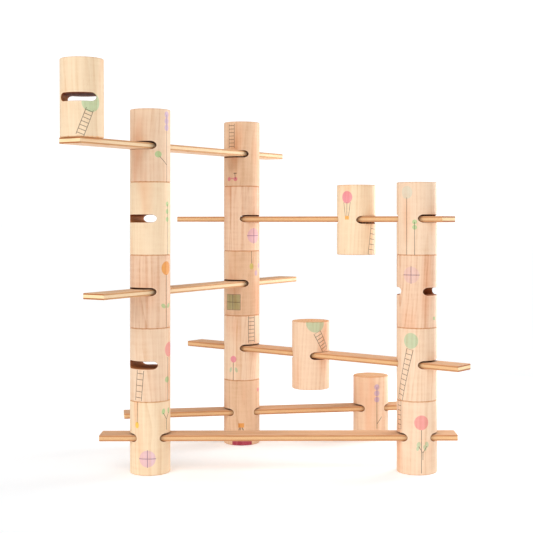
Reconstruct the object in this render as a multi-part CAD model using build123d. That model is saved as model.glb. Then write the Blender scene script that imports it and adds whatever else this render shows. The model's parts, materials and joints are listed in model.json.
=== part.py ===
from build123d import *
import math
import os

# A wooden building set: turned logs with a slot across the middle, and flat slats that lie in
# the slots. Three towers of stacked logs are tied together by the slats, and four more logs
# stand on a slat, hang from one, or stand on the floor with a slat through them.
#
# Millimetres, +Z up. The origin is on the floor at the centre of the left tower's foot, +X runs
# along the front slat to the right tower, and +Y runs to the back. Level 0 is the lowest log.

# ---- Logs
log_diameter = 40.0
log_height = 72.0
log_rim_radius = 1.2
slot_mouth_radius = 0.6

# ---- Slats
slat_length = 354.0
slat_width = 25.0
slat_thickness = 6.0
slat_edge_radius = 0.8

# ---- Clearances
slot_side_play = 3.75  # beside a slat, on each side, out to the slot's rounded end
slot_top_play = 1.5  # above a slat that lies on the slot's floor
seat_gap = 0.1  # left between a slat and the log that it lies in, hangs from or carries

# ---- How far a slat stands out, from the axis of the last log that it passes through
front_slat_left_overhang = 49.0
front_slat_right_overhang = 39.0
left_slat_front_overhang = 85.5
left_slat_back_overhang = 101.5
right_slat_back_overhang = 88.5
right_slat_front_overhang = 36.5
top_slat_front_overhang = 118.0
low_slat_back_overhang = 71.5
rear_slat_left_overhang = 131.5

# ---- Logs that belong to no tower
perched_log_reach = 101.0  # from the left tower's axis, out along the top slat
high_hanging_log_reach = 73.0  # from the right tower's axis, back along the right slat
low_hanging_log_reach = 97.0  # from the rear tower's axis, forward along the low slat
floor_log_reach = 150.0  # from the rear tower's axis, along the rear slat
rear_slat_heading = 9.7  # degrees from +X

# ---- Which way the empty slots point, in degrees from +X
left_tower_slot_headings = {1: 63.0, 3: 60.0}
right_tower_slot_headings = {2: -24.0}
perched_log_heading = 85.0

# ---- Tower heights, in logs
left_tower_logs = 5
rear_tower_logs = 5
right_tower_logs = 4

# ---- Levels of the slots that the slats lie in
front_slat_level = 0
rear_slat_level = 0
low_slat_level = 1
left_slat_level = 2
right_slat_level = 3
top_slat_level = 4

# ---- Worked out from the sizes above
log_radius = log_diameter / 2
slot_width = slat_width + 2 * slot_side_play
slot_height = slat_thickness + slot_top_play
slot_floor = (log_height - slot_height) / 2  # above a log's foot
slot_ceiling = (log_height + slot_height) / 2
slot_wall = (log_diameter - slot_width) / 2  # the least wood beside a slot
mouth_radius = min(slot_mouth_radius, slot_wall / 3)


def plan_heading(start, end):
    """Direction from one plan point to another, in degrees from +X."""
    return math.degrees(math.atan2(end.Y - start.Y, end.X - start.X))


def plan_step(start, heading, distance):
    """The plan point at a distance from another, along a heading."""
    angle = math.radians(heading)
    return start + Vector(math.cos(angle), math.sin(angle)) * distance


# The slats set the spacing of the towers: each is as long as the gap and its two overhangs.
left_to_right = slat_length - front_slat_left_overhang - front_slat_right_overhang
left_to_rear = slat_length - left_slat_front_overhang - left_slat_back_overhang
rear_to_right = slat_length - right_slat_back_overhang - right_slat_front_overhang

# The rear tower stands where its distances to the two front towers meet.
rear_x = (left_to_rear**2 + left_to_right**2 - rear_to_right**2) / (2 * left_to_right)
left_tower = Vector(0, 0)
right_tower = Vector(left_to_right, 0)
rear_tower = Vector(rear_x, math.sqrt(left_to_rear**2 - rear_x**2))

left_to_rear_heading = plan_heading(left_tower, rear_tower)
rear_to_right_heading = plan_heading(rear_tower, right_tower)
floor_log = plan_step(rear_tower, rear_slat_heading, floor_log_reach)
high_hanging_log = plan_step(right_tower, rear_to_right_heading, -high_hanging_log_reach)
low_hanging_log = plan_step(rear_tower, rear_to_right_heading, low_hanging_log_reach)

# The perched log tips the top slat until it bears on the left tower's slot floor at the front
# and on the rear tower's slot ceiling at the back.
top_slat_rise = slot_top_play - 2 * seat_gap
top_slat_tilt = math.degrees(math.atan2(top_slat_rise, left_to_rear + log_diameter))


def level_floor(level):
    """Height of a slot's floor above the ground, for a log at this level of a tower."""
    return level * log_height + slot_floor


def slat_location(start, heading, level, overhang):
    """Where a slat's end is: its underside's centre, on the slot floors of one level."""
    end = plan_step(start, heading, -overhang)
    return Pos(end.X, end.Y, level_floor(level) + seat_gap) * Rot(0, 0, heading)


def top_slat_location():
    """The same for the top slat, which tilts about the front edge of the left tower's slot."""
    edge = plan_step(left_tower, left_to_rear_heading, -log_radius)
    pivot = Pos(edge.X, edge.Y, level_floor(top_slat_level) + seat_gap)
    tilt = Rot(0, 0, left_to_rear_heading) * Rot(0, -top_slat_tilt, 0)
    return pivot * tilt * Pos(log_radius - top_slat_front_overhang, 0, 0)


def log_location(point, height, heading):
    """Where a log's foot is, with its slot along the heading."""
    return Pos(point.X, point.Y, height) * Rot(0, 0, heading)


def perched_log_location():
    """The perched log stands square on the top slat, near its front end."""
    from_end = top_slat_front_overhang - perched_log_reach
    foot = Pos(from_end, 0, slat_thickness + seat_gap)
    return top_slat_location() * foot * Rot(0, 0, perched_log_heading - left_to_rear_heading)


def hanging_height(level):
    """Foot height of a log whose slot ceiling hangs on a slat at this level."""
    slat_top = level_floor(level) + seat_gap + slat_thickness
    return slat_top + seat_gap - slot_ceiling


def make_log():
    """An upright log with its foot's centre at the origin and its slot along X."""
    log = Cylinder(log_radius, log_height, align=(Align.CENTER, Align.CENTER, Align.MIN))
    log = fillet(log.edges().filter_by(GeomType.CIRCLE), log_rim_radius)
    slot_section = Plane.YZ * Pos(0, log_height / 2) * SlotOverall(slot_width, slot_height)
    log -= extrude(slot_section, amount=log_diameter, both=True)
    return fillet(slot_mouth_edges(log), mouth_radius)


def slot_mouth_edges(log):
    """The edges where the slot breaks out of a log's round side."""
    side_edges = []
    for edge in log.edges():
        middle = edge @ 0.5
        on_side = abs(math.hypot(middle.X, middle.Y) - log_radius) < log_rim_radius / 10
        if on_side and slot_floor / 2 < middle.Z < (log_height + slot_ceiling) / 2:
            if edge.bounding_box().size.Z < log_height / 2:
                side_edges.append(edge)
    return side_edges


def make_slat():
    """A slat along +X, with the centre of its underside's end at the origin."""
    slat = Box(slat_length, slat_width, slat_thickness, align=(Align.MIN, Align.CENTER, Align.MIN))
    return fillet(slat.edges().filter_by(Axis.X), slat_edge_radius)


def tower_locations(name, point, count, headings):
    """Name and place of every log of a tower, from the floor up."""
    return {
        f"{name}_tower_log_{level + 1}": log_location(point, level * log_height, headings[level])
        for level in range(count)
    }


def all_log_locations():
    """Every log's name and place."""
    left_headings = dict.fromkeys(range(left_tower_logs), left_to_rear_heading)
    left_headings[front_slat_level] = 0.0
    left_headings.update(left_tower_slot_headings)

    rear_headings = {rear_slat_level: rear_slat_heading}
    rear_headings.update(dict.fromkeys((low_slat_level, right_slat_level), rear_to_right_heading))
    rear_headings.update(dict.fromkeys((left_slat_level, top_slat_level), left_to_rear_heading))

    right_headings = dict.fromkeys(range(right_tower_logs), rear_to_right_heading)
    right_headings[front_slat_level] = 0.0
    right_headings.update(right_tower_slot_headings)

    high_height = hanging_height(right_slat_level)
    low_height = hanging_height(low_slat_level)
    return {
        **tower_locations("left", left_tower, left_tower_logs, left_headings),
        **tower_locations("rear", rear_tower, rear_tower_logs, rear_headings),
        **tower_locations("right", right_tower, right_tower_logs, right_headings),
        "perched_log": perched_log_location(),
        "high_hanging_log": log_location(high_hanging_log, high_height, rear_to_right_heading),
        "low_hanging_log": log_location(low_hanging_log, low_height, rear_to_right_heading),
        "floor_log": log_location(floor_log, 0, rear_slat_heading),
    }


def all_slat_locations():
    """Every slat's name and place."""
    left_heading = left_to_rear_heading
    right_heading = rear_to_right_heading
    return {
        "front_slat": slat_location(left_tower, 0, front_slat_level, front_slat_left_overhang),
        "rear_slat": slat_location(
            rear_tower, rear_slat_heading, rear_slat_level, rear_slat_left_overhang
        ),
        "low_slat": slat_location(rear_tower, right_heading, low_slat_level, low_slat_back_overhang),
        "left_slat": slat_location(
            left_tower, left_heading, left_slat_level, left_slat_front_overhang
        ),
        "right_slat": slat_location(
            rear_tower, right_heading, right_slat_level, right_slat_back_overhang
        ),
        "top_slat": top_slat_location(),
    }


def build_nodes():
    """Every piece of the toy, by name."""
    log = make_log()
    slat = make_slat()
    nodes = {name: place * log for name, place in all_log_locations().items()}
    nodes.update({name: place * slat for name, place in all_slat_locations().items()})
    return nodes


os.makedirs("parts", exist_ok=True)
for node_name, solid in build_nodes().items():
    export_step(solid, f"parts/{node_name}.step")
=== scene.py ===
"""The looks of a wooden building set: turned logs with a slot through the middle, stacked in three
towers, and plywood slats that lie in the slots. Every length is in millimetres unless it says metres."""

from __future__ import annotations

import json
import logging
import math
from dataclasses import dataclass
from enum import Enum
from typing import Mapping, Sequence, Union

import bmesh
import bpy
from mathutils import Matrix, Vector


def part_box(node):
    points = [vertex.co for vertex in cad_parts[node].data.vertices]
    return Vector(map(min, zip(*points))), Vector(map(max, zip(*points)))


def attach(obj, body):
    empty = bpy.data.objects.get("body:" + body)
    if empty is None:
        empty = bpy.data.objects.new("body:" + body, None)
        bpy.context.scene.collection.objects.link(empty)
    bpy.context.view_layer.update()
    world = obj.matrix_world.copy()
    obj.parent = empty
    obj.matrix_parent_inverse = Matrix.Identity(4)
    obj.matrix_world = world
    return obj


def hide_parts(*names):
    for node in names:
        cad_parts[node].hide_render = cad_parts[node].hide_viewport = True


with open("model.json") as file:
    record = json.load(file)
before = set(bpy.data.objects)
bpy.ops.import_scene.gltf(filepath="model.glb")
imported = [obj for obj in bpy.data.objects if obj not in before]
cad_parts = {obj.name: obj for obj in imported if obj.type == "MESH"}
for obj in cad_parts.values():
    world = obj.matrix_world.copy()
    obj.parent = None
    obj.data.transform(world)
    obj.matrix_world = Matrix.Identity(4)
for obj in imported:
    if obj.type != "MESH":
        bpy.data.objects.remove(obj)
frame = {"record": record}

MM = 0.001
report = logging.getLogger("log_set")

Number = Union["Value", float]
Rgba = tuple[float, float, float, float]
Shades = tuple[Rgba, Rgba]
Paint = Union[bpy.types.NodeSocket, Rgba]


# ---------------------------------------------------------------- colours


def linear(level: float) -> float:
    """One channel of a colour chart, from 0 to 255, as linear light."""
    share = level / 255
    return share / 12.92 if share <= 0.04045 else ((share + 0.055) / 1.055) ** 2.4


def paint(red: float, green: float, blue: float) -> Rgba:
    """A colour chart's red, green and blue, from 0 to 255, as a linear colour."""
    return (linear(red), linear(green), linear(blue), 1.0)


BARE_WOOD = paint(243, 213, 180)


class Ink(Enum):
    """The inks of the printed figures, as they look on bare wood."""

    LINE = (98, 80, 70)
    GREEN = (182, 208, 148)
    PALE_GREEN = (194, 207, 166)
    LIME = (222, 220, 128)
    PINK = (234, 142, 156)
    CORAL = (240, 158, 150)
    ORANGE = (240, 168, 78)
    YELLOW = (250, 206, 84)
    MIST = (224, 213, 186)
    OLIVE = (184, 184, 134)
    LILAC = (230, 190, 198)
    BLUSH = (236, 202, 188)
    PURPLE = (212, 184, 206)
    PLUM = (122, 84, 100)
    MAGENTA = (176, 34, 88)

    def glaze(self) -> Rgba:
        """How much of each colour of the bare wood the ink lets through."""
        shares = [ink / wood for ink, wood in zip(paint(*self.value)[:3], BARE_WOOD[:3])]
        return (shares[0], shares[1], shares[2], 1.0)


class Tone(Enum):
    """The shades of maple that the logs are turned from."""

    PALE = (paint(243, 213, 184), paint(222, 178, 140))
    HONEY = (paint(248, 222, 188), paint(230, 192, 150))
    TAN = (paint(234, 196, 162), paint(206, 158, 120))
    ROSY = (paint(241, 206, 176), paint(211, 158, 122))

    def __init__(self, early: Rgba, late: Rgba) -> None:
        """Keeps the colours.

        Args:
            early: The colour of the wood between the rings.
            late: The colour of the rings.
        """
        self.early = early
        self.late = late


class Ply(Enum):
    """The shades of the slats' plywood, each light, then dark."""

    FRESH = (
        (paint(238, 202, 164), paint(210, 158, 116)),
        (paint(246, 218, 178), paint(226, 180, 130)),
        (paint(214, 160, 108), paint(184, 126, 80)),
    )
    WARM = (
        (paint(230, 188, 150), paint(204, 148, 106)),
        (paint(236, 192, 142), paint(210, 152, 102)),
        (paint(214, 152, 102), paint(176, 112, 70)),
    )

    def __init__(self, face: Shades, core: Shades, outer: Shades) -> None:
        """Keeps the shades.

        Args:
            face: The veneer on the top and the underside.
            core: The middle ply, as the edges show it.
            outer: The plies on each side of the core, as the edges show them.
        """
        self.face = face
        self.core = core
        self.outer = outer


class Tint(Enum):
    """The tints that lie over the wood, by where they are; the rim and slot tints are painted shade."""

    BLUSH = (246, 196, 164)
    END_GRAIN = (236, 200, 158)
    # painted shade: darker rims, where the logs of a stack meet
    RIM_SHADE = (200, 146, 108)
    # painted shade in the slot: darker where a slat fills it, lighter where it stands open
    FILLED_SLOT_SHADE = (150, 86, 46)
    EMPTY_SLOT_SHADE = (204, 152, 112)
    # painted shade on the slot's ceiling, which faces down
    SLOT_CEILING_SHADE = (150, 96, 60)
    EASED_MOUTH = (250, 228, 200)
    GLUE_LINE = (150, 94, 54)
    OUTER_PLY_END = (218, 158, 104)
    CORE_END = (255, 232, 180)

    def __init__(self, red: float, green: float, blue: float) -> None:
        """Works out the tint's linear colour from a colour chart's red, green and blue."""
        self.colour = paint(red, green, blue)


# ---------------------------------------------------------------- shader maths


class Value:
    """A number that varies over a surface: a shader socket that can be used in arithmetic."""

    def __init__(self, shader: Shader, socket: bpy.types.NodeSocket) -> None:
        """Keeps the socket with the shader that owns it.

        Args:
            shader: The shader that new nodes are added to.
            socket: The output socket that carries the number.
        """
        self.shader = shader
        self.socket = socket

    def __add__(self, other: Number) -> Value:
        """This number plus another."""
        return self.shader.maths("ADD", self, other)

    def __radd__(self, other: Number) -> Value:
        """Another number plus this one."""
        return self.shader.maths("ADD", other, self)

    def __sub__(self, other: Number) -> Value:
        """This number less another."""
        return self.shader.maths("SUBTRACT", self, other)

    def __rsub__(self, other: Number) -> Value:
        """Another number less this one."""
        return self.shader.maths("SUBTRACT", other, self)

    def __mul__(self, other: Number) -> Value:
        """This number times another."""
        return self.shader.maths("MULTIPLY", self, other)

    def __rmul__(self, other: Number) -> Value:
        """Another number times this one."""
        return self.shader.maths("MULTIPLY", other, self)

    def __truediv__(self, other: Number) -> Value:
        """This number divided by another."""
        return self.shader.maths("DIVIDE", self, other)

    def __rtruediv__(self, other: Number) -> Value:
        """Another number divided by this one."""
        return self.shader.maths("DIVIDE", other, self)

    def __abs__(self) -> Value:
        """This number without its sign."""
        return self.shader.maths("ABSOLUTE", self)

    def wrapped(self, gap: float) -> Value:
        """How far this number is past the nearest multiple of a gap, below zero where it is short."""
        return self.shader.maths("WRAP", self, gap / 2, -gap / 2)

    def least(self, other: Number) -> Value:
        """The lower of this number and another."""
        return self.shader.maths("MINIMUM", self, other)

    def most(self, other: Number) -> Value:
        """The higher of this number and another."""
        return self.shader.maths("MAXIMUM", self, other)

    def floor(self) -> Value:
        """The whole number below this one."""
        return self.shader.maths("FLOOR", self)

    def ramp(self, low: float, high: float) -> Value:
        """How far this number has gone from one level to another, eased at both.

        Args:
            low: The level where the result is 0.
            high: The level where the result is 1.

        Returns:
            The share of the way.
        """
        made = self.shader.node(
            "ShaderNodeMapRange",
            {"interpolation_type": "SMOOTHSTEP"},
            {"Value": self, "From Min": low, "From Max": high},
        )
        return Value(self.shader, made.outputs[0])

    def covers(self, softness: float = 0.22) -> Value:
        """Fills an outline that this number is the distance from.

        Args:
            softness: How wide the edge is.

        Returns:
            1 inside the outline, where the distance is below zero, and 0 outside.
        """
        edge = self.shader.node(
            "ShaderNodeMath",
            {"operation": "MULTIPLY_ADD", "use_clamp": True},
            {0: self, 1: -1.0 / softness, 2: 0.5},
        )
        return Value(self.shader, edge.outputs[0])


class NodeSet:
    """A tree of nodes and the one way to add to it."""

    def __init__(self, tree: bpy.types.NodeTree) -> None:
        """Keeps the tree."""
        self.tree = tree

    def feed(self, node: bpy.types.Node, inputs: Mapping[Union[str, int], object]) -> None:
        """Sets or links the inputs of a node.

        Args:
            node: The node.
            inputs: What each input holds, or is linked from, by its name or its place.
        """
        for place, given in inputs.items():
            source = given.socket if isinstance(given, Value) else given
            if isinstance(source, bpy.types.NodeSocket):
                self.tree.links.new(source, node.inputs[place])
            else:
                node.inputs[place].default_value = source

    def node(
        self,
        kind: str,
        settings: Mapping[str, object] | None = None,
        inputs: Mapping[Union[str, int], object] | None = None,
    ) -> bpy.types.Node:
        """Adds a node.

        Args:
            kind: The node's type.
            settings: The node's own options, which are set first.
            inputs: What each input holds, or is linked from, by its name or its place.

        Returns:
            The new node.
        """
        made = self.tree.nodes.new(kind)
        for option, choice in (settings or {}).items():
            setattr(made, option, choice)
        self.feed(made, inputs or {})
        return made


class Shader(NodeSet):
    """The nodes of one material."""

    def __init__(self, name: str) -> None:
        """Starts a material.

        Args:
            name: The material's name.
        """
        self.material = bpy.data.materials.new(name)
        self.material.use_nodes = True
        super().__init__(self.material.node_tree)
        self.surface = self.tree.nodes["Principled BSDF"]

    def maths(self, operation: str, *terms: Number) -> Value:
        """The result of a Math node.

        Args:
            operation: What the node does.
            terms: The numbers that it takes, in order.

        Returns:
            The result.
        """
        made = self.node("ShaderNodeMath", {"operation": operation}, dict(enumerate(terms)))
        return Value(self, made.outputs[0])

    def length(self, across: Number, along: Number) -> Value:
        """The length of a flat vector.

        Args:
            across: Its first part.
            along: Its second part.

        Returns:
            The length.
        """
        joined = self.node("ShaderNodeCombineXYZ", inputs={0: across, 1: along})
        made = self.node("ShaderNodeVectorMath", {"operation": "LENGTH"}, {0: joined.outputs[0]})
        return Value(self, made.outputs["Value"])

    def noise(
        self, point: bpy.types.NodeSocket, scale: Sequence[float], seed: float, detail: float = 2.0
    ) -> Value:
        """Smooth noise about zero, stretched along each axis.

        Args:
            point: Where on the piece.
            scale: Cycles per millimetre along X, Y and Z.
            seed: Which noise.
            detail: How many finer layers are added.

        Returns:
            The noise, mostly from -0.3 to 0.3.
        """
        offset = (seed * 7.31, seed * 3.77, seed * 5.13)
        spread = self.node(
            "ShaderNodeVectorMath", {"operation": "MULTIPLY_ADD"}, {0: point, 1: tuple(scale), 2: offset}
        )
        made = self.node(
            "ShaderNodeTexNoise",
            inputs={"Vector": spread.outputs[0], "Scale": 1.0, "Detail": detail, "Roughness": 0.55},
        )
        return Value(self, made.outputs[0]) - 0.5

    def chance(self, number: Value, seed: float) -> Value:
        """A number from 0 to 1 for each whole number."""
        made = self.node("ShaderNodeTexWhiteNoise", {"noise_dimensions": "1D"}, {"W": number + seed})
        return Value(self, made.outputs["Value"])

    def blend(self, amount: Number, first: Paint, second: Paint, way: str = "MIX") -> bpy.types.NodeSocket:
        """Mixes two colours.

        Args:
            amount: How much of the second colour, from 0 to 1.
            first: The colour underneath.
            second: The colour on top.
            way: How the two are put together.

        Returns:
            The mixed colour.
        """
        made = self.node(
            "ShaderNodeMix", {"data_type": "RGBA", "blend_type": way}, {0: amount, 6: first, 7: second}
        )
        return made.outputs[2]

    def finish(
        self, colour: Paint, roughness: Value, relief: Value, depth: float, specular: float = 0.25
    ) -> bpy.types.Material:
        """Joins colour, roughness and relief to the surface.

        Args:
            colour: The base colour.
            roughness: How matt the surface is.
            relief: How high it stands, from about 0 to 1.
            depth: What a relief of 1 is, in millimetres.
            specular: How strong its sheen is.

        Returns:
            The finished material.
        """
        bump = self.node(
            "ShaderNodeBump", inputs={"Height": relief, "Distance": depth * MM, "Strength": 1.0}
        )
        self.feed(
            self.surface,
            {
                "Normal": bump.outputs[0],
                "Base Color": colour,
                "Roughness": roughness,
                "Specular IOR Level": specular,
            },
        )
        return self.material


@dataclass(frozen=True)
class Spot:
    """Where the shader is on a piece, in the piece's own axes."""

    point: bpy.types.NodeSocket
    x: Value
    y: Value
    z: Value

    @classmethod
    def of(cls, shader: Shader) -> Spot:
        """Adds the nodes that find the place on the piece.

        Args:
            shader: The piece's shader.

        Returns:
            The place, in millimetres from the piece's centre.
        """
        own = shader.node("ShaderNodeTexCoord").outputs["Object"]
        scaled = shader.node("ShaderNodeVectorMath", {"operation": "SCALE"}, {0: own, "Scale": 1 / MM})
        parts = shader.node("ShaderNodeSeparateXYZ", inputs={0: scaled.outputs[0]})
        return cls(scaled.outputs[0], *(Value(shader, socket) for socket in parts.outputs))


# ---------------------------------------------------------------- printed figures


@dataclass(frozen=True)
class Wall:
    """The round side of a log, unrolled for the print."""

    shader: Shader
    angle: Value
    height: Value
    radius: float
    slot_heading: float

    def axes(self, turn: float, height: float, lean: float = 0.0) -> tuple[Value, Value]:
        """Two axes on the unrolled side, in millimetres from a place on it.

        Args:
            turn: Where the place is, in degrees from the set's +X.
            height: How high on the log it is.
            lean: How far the axes are turned from rightwards and upwards, in degrees.

        Returns:
            The distances along the first axis and the second.
        """
        off = self.angle - math.radians(turn - self.slot_heading)
        right = off.wrapped(math.tau) * self.radius
        up = self.height - height
        if not lean:
            return right, up
        cos = math.cos(math.radians(lean))
        sin = math.sin(math.radians(lean))
        return right * cos + up * sin, up * cos - right * sin


@dataclass(frozen=True)
class Layer:
    """One ink's share of a figure: the distance from its outline, below zero where it prints."""

    ink: Ink
    distance: Value


@dataclass(frozen=True)
class Patch:
    """A figure at one place on the side, of one ink."""

    turn: float
    height: float
    half_width: float
    half_height: float
    ink: Ink


@dataclass(frozen=True)
class Oval(Patch):
    """A filled oval: a fruit, a leaf, a tree's crown."""

    lean: float = 0.0

    def layers(self, wall: Wall) -> list[Layer]:
        """The figure's inks on a wall.

        Args:
            wall: The side that it is printed on.

        Returns:
            Its inks, each with its outline.
        """
        right, up = wall.axes(self.turn, self.height, self.lean)
        reach = wall.shader.length(right / self.half_width, up / self.half_height)
        return [Layer(self.ink, (reach - 1.0) * min(self.half_width, self.half_height))]


@dataclass(frozen=True)
class Line:
    """A thin straight line between two places on the side."""

    turn: float
    height: float
    end_turn: float
    end_height: float
    thickness: float = 0.58
    ink: Ink = Ink.LINE

    def along_and_across(self, wall: Wall) -> tuple[Value, Value, float]:
        """The line's own axes.

        Args:
            wall: The side that it is printed on.

        Returns:
            The distance along the line from its middle, the distance across it, and its length.
        """
        run = math.radians(self.end_turn - self.turn) * wall.radius
        rise = self.end_height - self.height
        middle_turn = (self.turn + self.end_turn) / 2
        middle_height = (self.height + self.end_height) / 2
        along, across = wall.axes(middle_turn, middle_height, math.degrees(math.atan2(rise, run)))
        return along, across, math.hypot(run, rise)

    def layers(self, wall: Wall) -> list[Layer]:
        """The figure's inks on a wall.

        Args:
            wall: The side that it is printed on.

        Returns:
            Its inks, each with its outline.
        """
        along, across, length = self.along_and_across(wall)
        distance = (abs(across) - self.thickness / 2).most(abs(along) - length / 2)
        return [Layer(self.ink, distance)]


@dataclass(frozen=True)
class Ladder(Line):
    """Two rails with rungs between them, along a line from the foot to the top."""

    width: float = 7.0
    rungs: int = 6

    def layers(self, wall: Wall) -> list[Layer]:
        """The figure's inks on a wall.

        Args:
            wall: The side that it is printed on.

        Returns:
            Its inks, each with its outline.
        """
        along, across, length = self.along_and_across(wall)
        half_line = self.thickness / 2
        rails = abs(abs(across) - self.width / 2)
        rungs = abs(along.wrapped(length / self.rungs)).most(abs(across) - self.width / 2)
        return [Layer(self.ink, (rails.least(rungs) - half_line).most(abs(along) - length / 2))]


@dataclass(frozen=True)
class Window(Patch):
    """A window with a cross of glazing bars, round, or square in a frame."""

    round: bool = True
    thickness: float = 0.55
    frame_share: float = 2 / 3
    overhang: float = 0.4

    def layers(self, wall: Wall) -> list[Layer]:
        """The figure's inks on a wall.

        Args:
            wall: The side that it is printed on.

        Returns:
            Its inks, each with its outline.
        """
        right, up = wall.axes(self.turn, self.height)
        if self.round:
            outline = wall.shader.length(right, up) - self.half_width
        else:
            outline = (abs(right) - self.half_width).most(abs(up) - self.half_height)
        bars = abs(right).least(abs(up)) - self.thickness / 2
        drawn = bars.most(outline - self.overhang)
        if not self.round:
            drawn = drawn.least(abs(outline) - self.thickness * self.frame_share / 2)
        return [Layer(self.ink, outline), Layer(Ink.PLUM, drawn)]


@dataclass(frozen=True)
class Block(Patch):
    """A filled box: a basket, a stool's seat, a band at the foot."""

    def layers(self, wall: Wall) -> list[Layer]:
        """The figure's inks on a wall."""
        right, up = wall.axes(self.turn, self.height)
        return [Layer(self.ink, (abs(right) - self.half_width).most(abs(up) - self.half_height))]


Mark = Union[Oval, Line, Ladder, Window, Block]


def fruit_stem(turn: float, heights: Sequence[float], foot: float, ink: Ink, size: float) -> list[Mark]:
    """Fruits one above another on a straight stem.

    Args:
        turn: Where the stem is.
        heights: Where each fruit is.
        foot: Where the stem ends.
        ink: The fruits' ink.
        size: Half a fruit's width.

    Returns:
        The stem's marks.
    """
    fruits: list[Mark] = [Oval(turn, height, size, size, ink) for height in heights]
    return [Line(turn, foot, turn, max(heights)), *fruits]


def sprig(turn: float, height: float, foot: float, leaf_ink: Ink = Ink.GREEN) -> list[Mark]:
    """A stem with a pair of leaves at the ends of a fork.

    Args:
        turn: Where the stem is.
        height: Where the leaves are.
        foot: Where the stem ends.
        leaf_ink: The leaves' ink.

    Returns:
        The sprig's marks.
    """
    fork = height - 6.5
    spread = 12.0
    marks: list[Mark] = [Line(turn, foot, turn, fork)]
    for side in (-1, 1):
        tip = turn + side * spread
        marks.append(Line(turn, fork, tip, height))
        marks.append(Oval(tip, height + 1.6, 2.0, 2.9, leaf_ink, lean=side * 12.0))
    return marks


def flower(turn: float, height: float, size: float, foot: float, ink: Ink) -> list[Mark]:
    """A round flower on a stem with two leaves.

    Args:
        turn: Where the stem is.
        height: Where the flower is.
        size: Half the flower's width.
        foot: Where the stem ends.
        ink: The flower's ink.

    Returns:
        The flower's marks.
    """
    leaf_height = foot + (height - foot) * 0.5
    leaves: list[Mark] = [
        Oval(turn + side * 10.0, leaf_height, 1.5, 2.9, Ink.PALE_GREEN, lean=side * 18.0) for side in (-1, 1)
    ]
    return [Line(turn, foot, turn, height - size), Oval(turn, height, size, size, ink), *leaves]


def tree(turn: float, height: float, size: float, foot: float, ink: Ink = Ink.PALE_GREEN) -> list[Mark]:
    """A round crown on a trunk.

    Args:
        turn: Where the trunk is.
        height: Where the crown's middle is.
        size: Half the crown's width.
        foot: Where the trunk ends.
        ink: The crown's ink.

    Returns:
        The tree's marks.
    """
    return [Oval(turn, height, size, size * 1.06, ink), Line(turn, foot, turn, height - size * 0.85)]


def hot_air_balloon(turn: float, height: float) -> list[Mark]:
    """A balloon with three cords down to a basket.

    Args:
        turn: Where the balloon is.
        height: Where its middle is.

    Returns:
        The balloon's marks.
    """
    basket = height - 21.0
    cords: list[Mark] = [
        Line(turn + side * 11.0, height - 5.2, turn + side * 5.6, basket + 1.8, 0.5)
        for side in (-1, 0, 1)
    ]
    return [*cords, Oval(turn, height, 5.9, 6.4, Ink.PINK), Block(turn, basket, 2.3, 1.9, Ink.ORANGE)]


def scooter(turn: float, height: float) -> list[Mark]:
    """A scooter: two wheels, a deck and a handlebar.

    Args:
        turn: Where its middle is.
        height: Where its wheels' middles are.

    Returns:
        The scooter's marks.
    """
    half = 12.0
    wheels: list[Mark] = [Oval(turn + side * half, height, 2.3, 2.3, Ink.PINK) for side in (-1, 1)]
    deck = Line(turn - half, height + 0.6, turn + half, height + 0.6, 1.0, Ink.PINK)
    post = Line(turn + half, height, turn + half - 2.0, height + 6.4)
    bar = Line(turn + half - 6.0, height + 6.4, turn + half + 4.0, height + 6.4, 0.9)
    return [*wheels, deck, post, bar]


# ---------------------------------------------------------------- finishes


@dataclass(frozen=True)
class Grain:
    """What grew in a log: its rings, flecks and so on, each about zero, or from 0 to 1."""

    ring: Value
    fibre: Value
    streak: Value
    blush: Value
    fleck: Value
    ray: Value
    curl: Value


@dataclass(frozen=True)
class Cuts:
    """How a log has been worked, and where shade is painted on it: where its side, ends, rims and slot are,
    and the slot's ceiling, each from 0 to 1.
    """

    side: Value
    end: Value
    rim: Value
    routed: Value
    ceiling: Value
    eased: Value

    @classmethod
    def of(cls, shader: Shader, at: Spot, shape: LogShape) -> Cuts:
        """Finds where on a log each cut is.

        Args:
            shader: The log's shader.
            at: Where on the log.
            shape: The log's sizes.

        Returns:
            The cuts.
        """
        half = shape.height / 2
        lift = abs(at.z)
        end = lift.ramp(half - 0.9, half - 0.1)
        bend = shape.slot_height / 2
        beyond = (abs(at.y) - (shape.slot_width / 2 - bend)).most(0.0)
        from_slot = shader.length(beyond, at.z) - bend
        # mask for the painted shade inside the slot
        routed = (from_slot - 0.25).covers(0.3)
        return cls(
            side=shader.length(at.x, at.y).ramp(shape.radius - 0.7, shape.radius - 0.3),
            end=end,
            # mask for the painted shade on the rims
            rim=lift.ramp(half - 0.8, half - 0.3) * (1.0 - end),
            routed=routed,
            # mask for the painted shade on the slot's ceiling, which faces down
            ceiling=routed * at.z.ramp(1.0, bend),
            eased=(abs(from_slot - 0.75) - 0.25).covers(0.4),
        )


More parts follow.
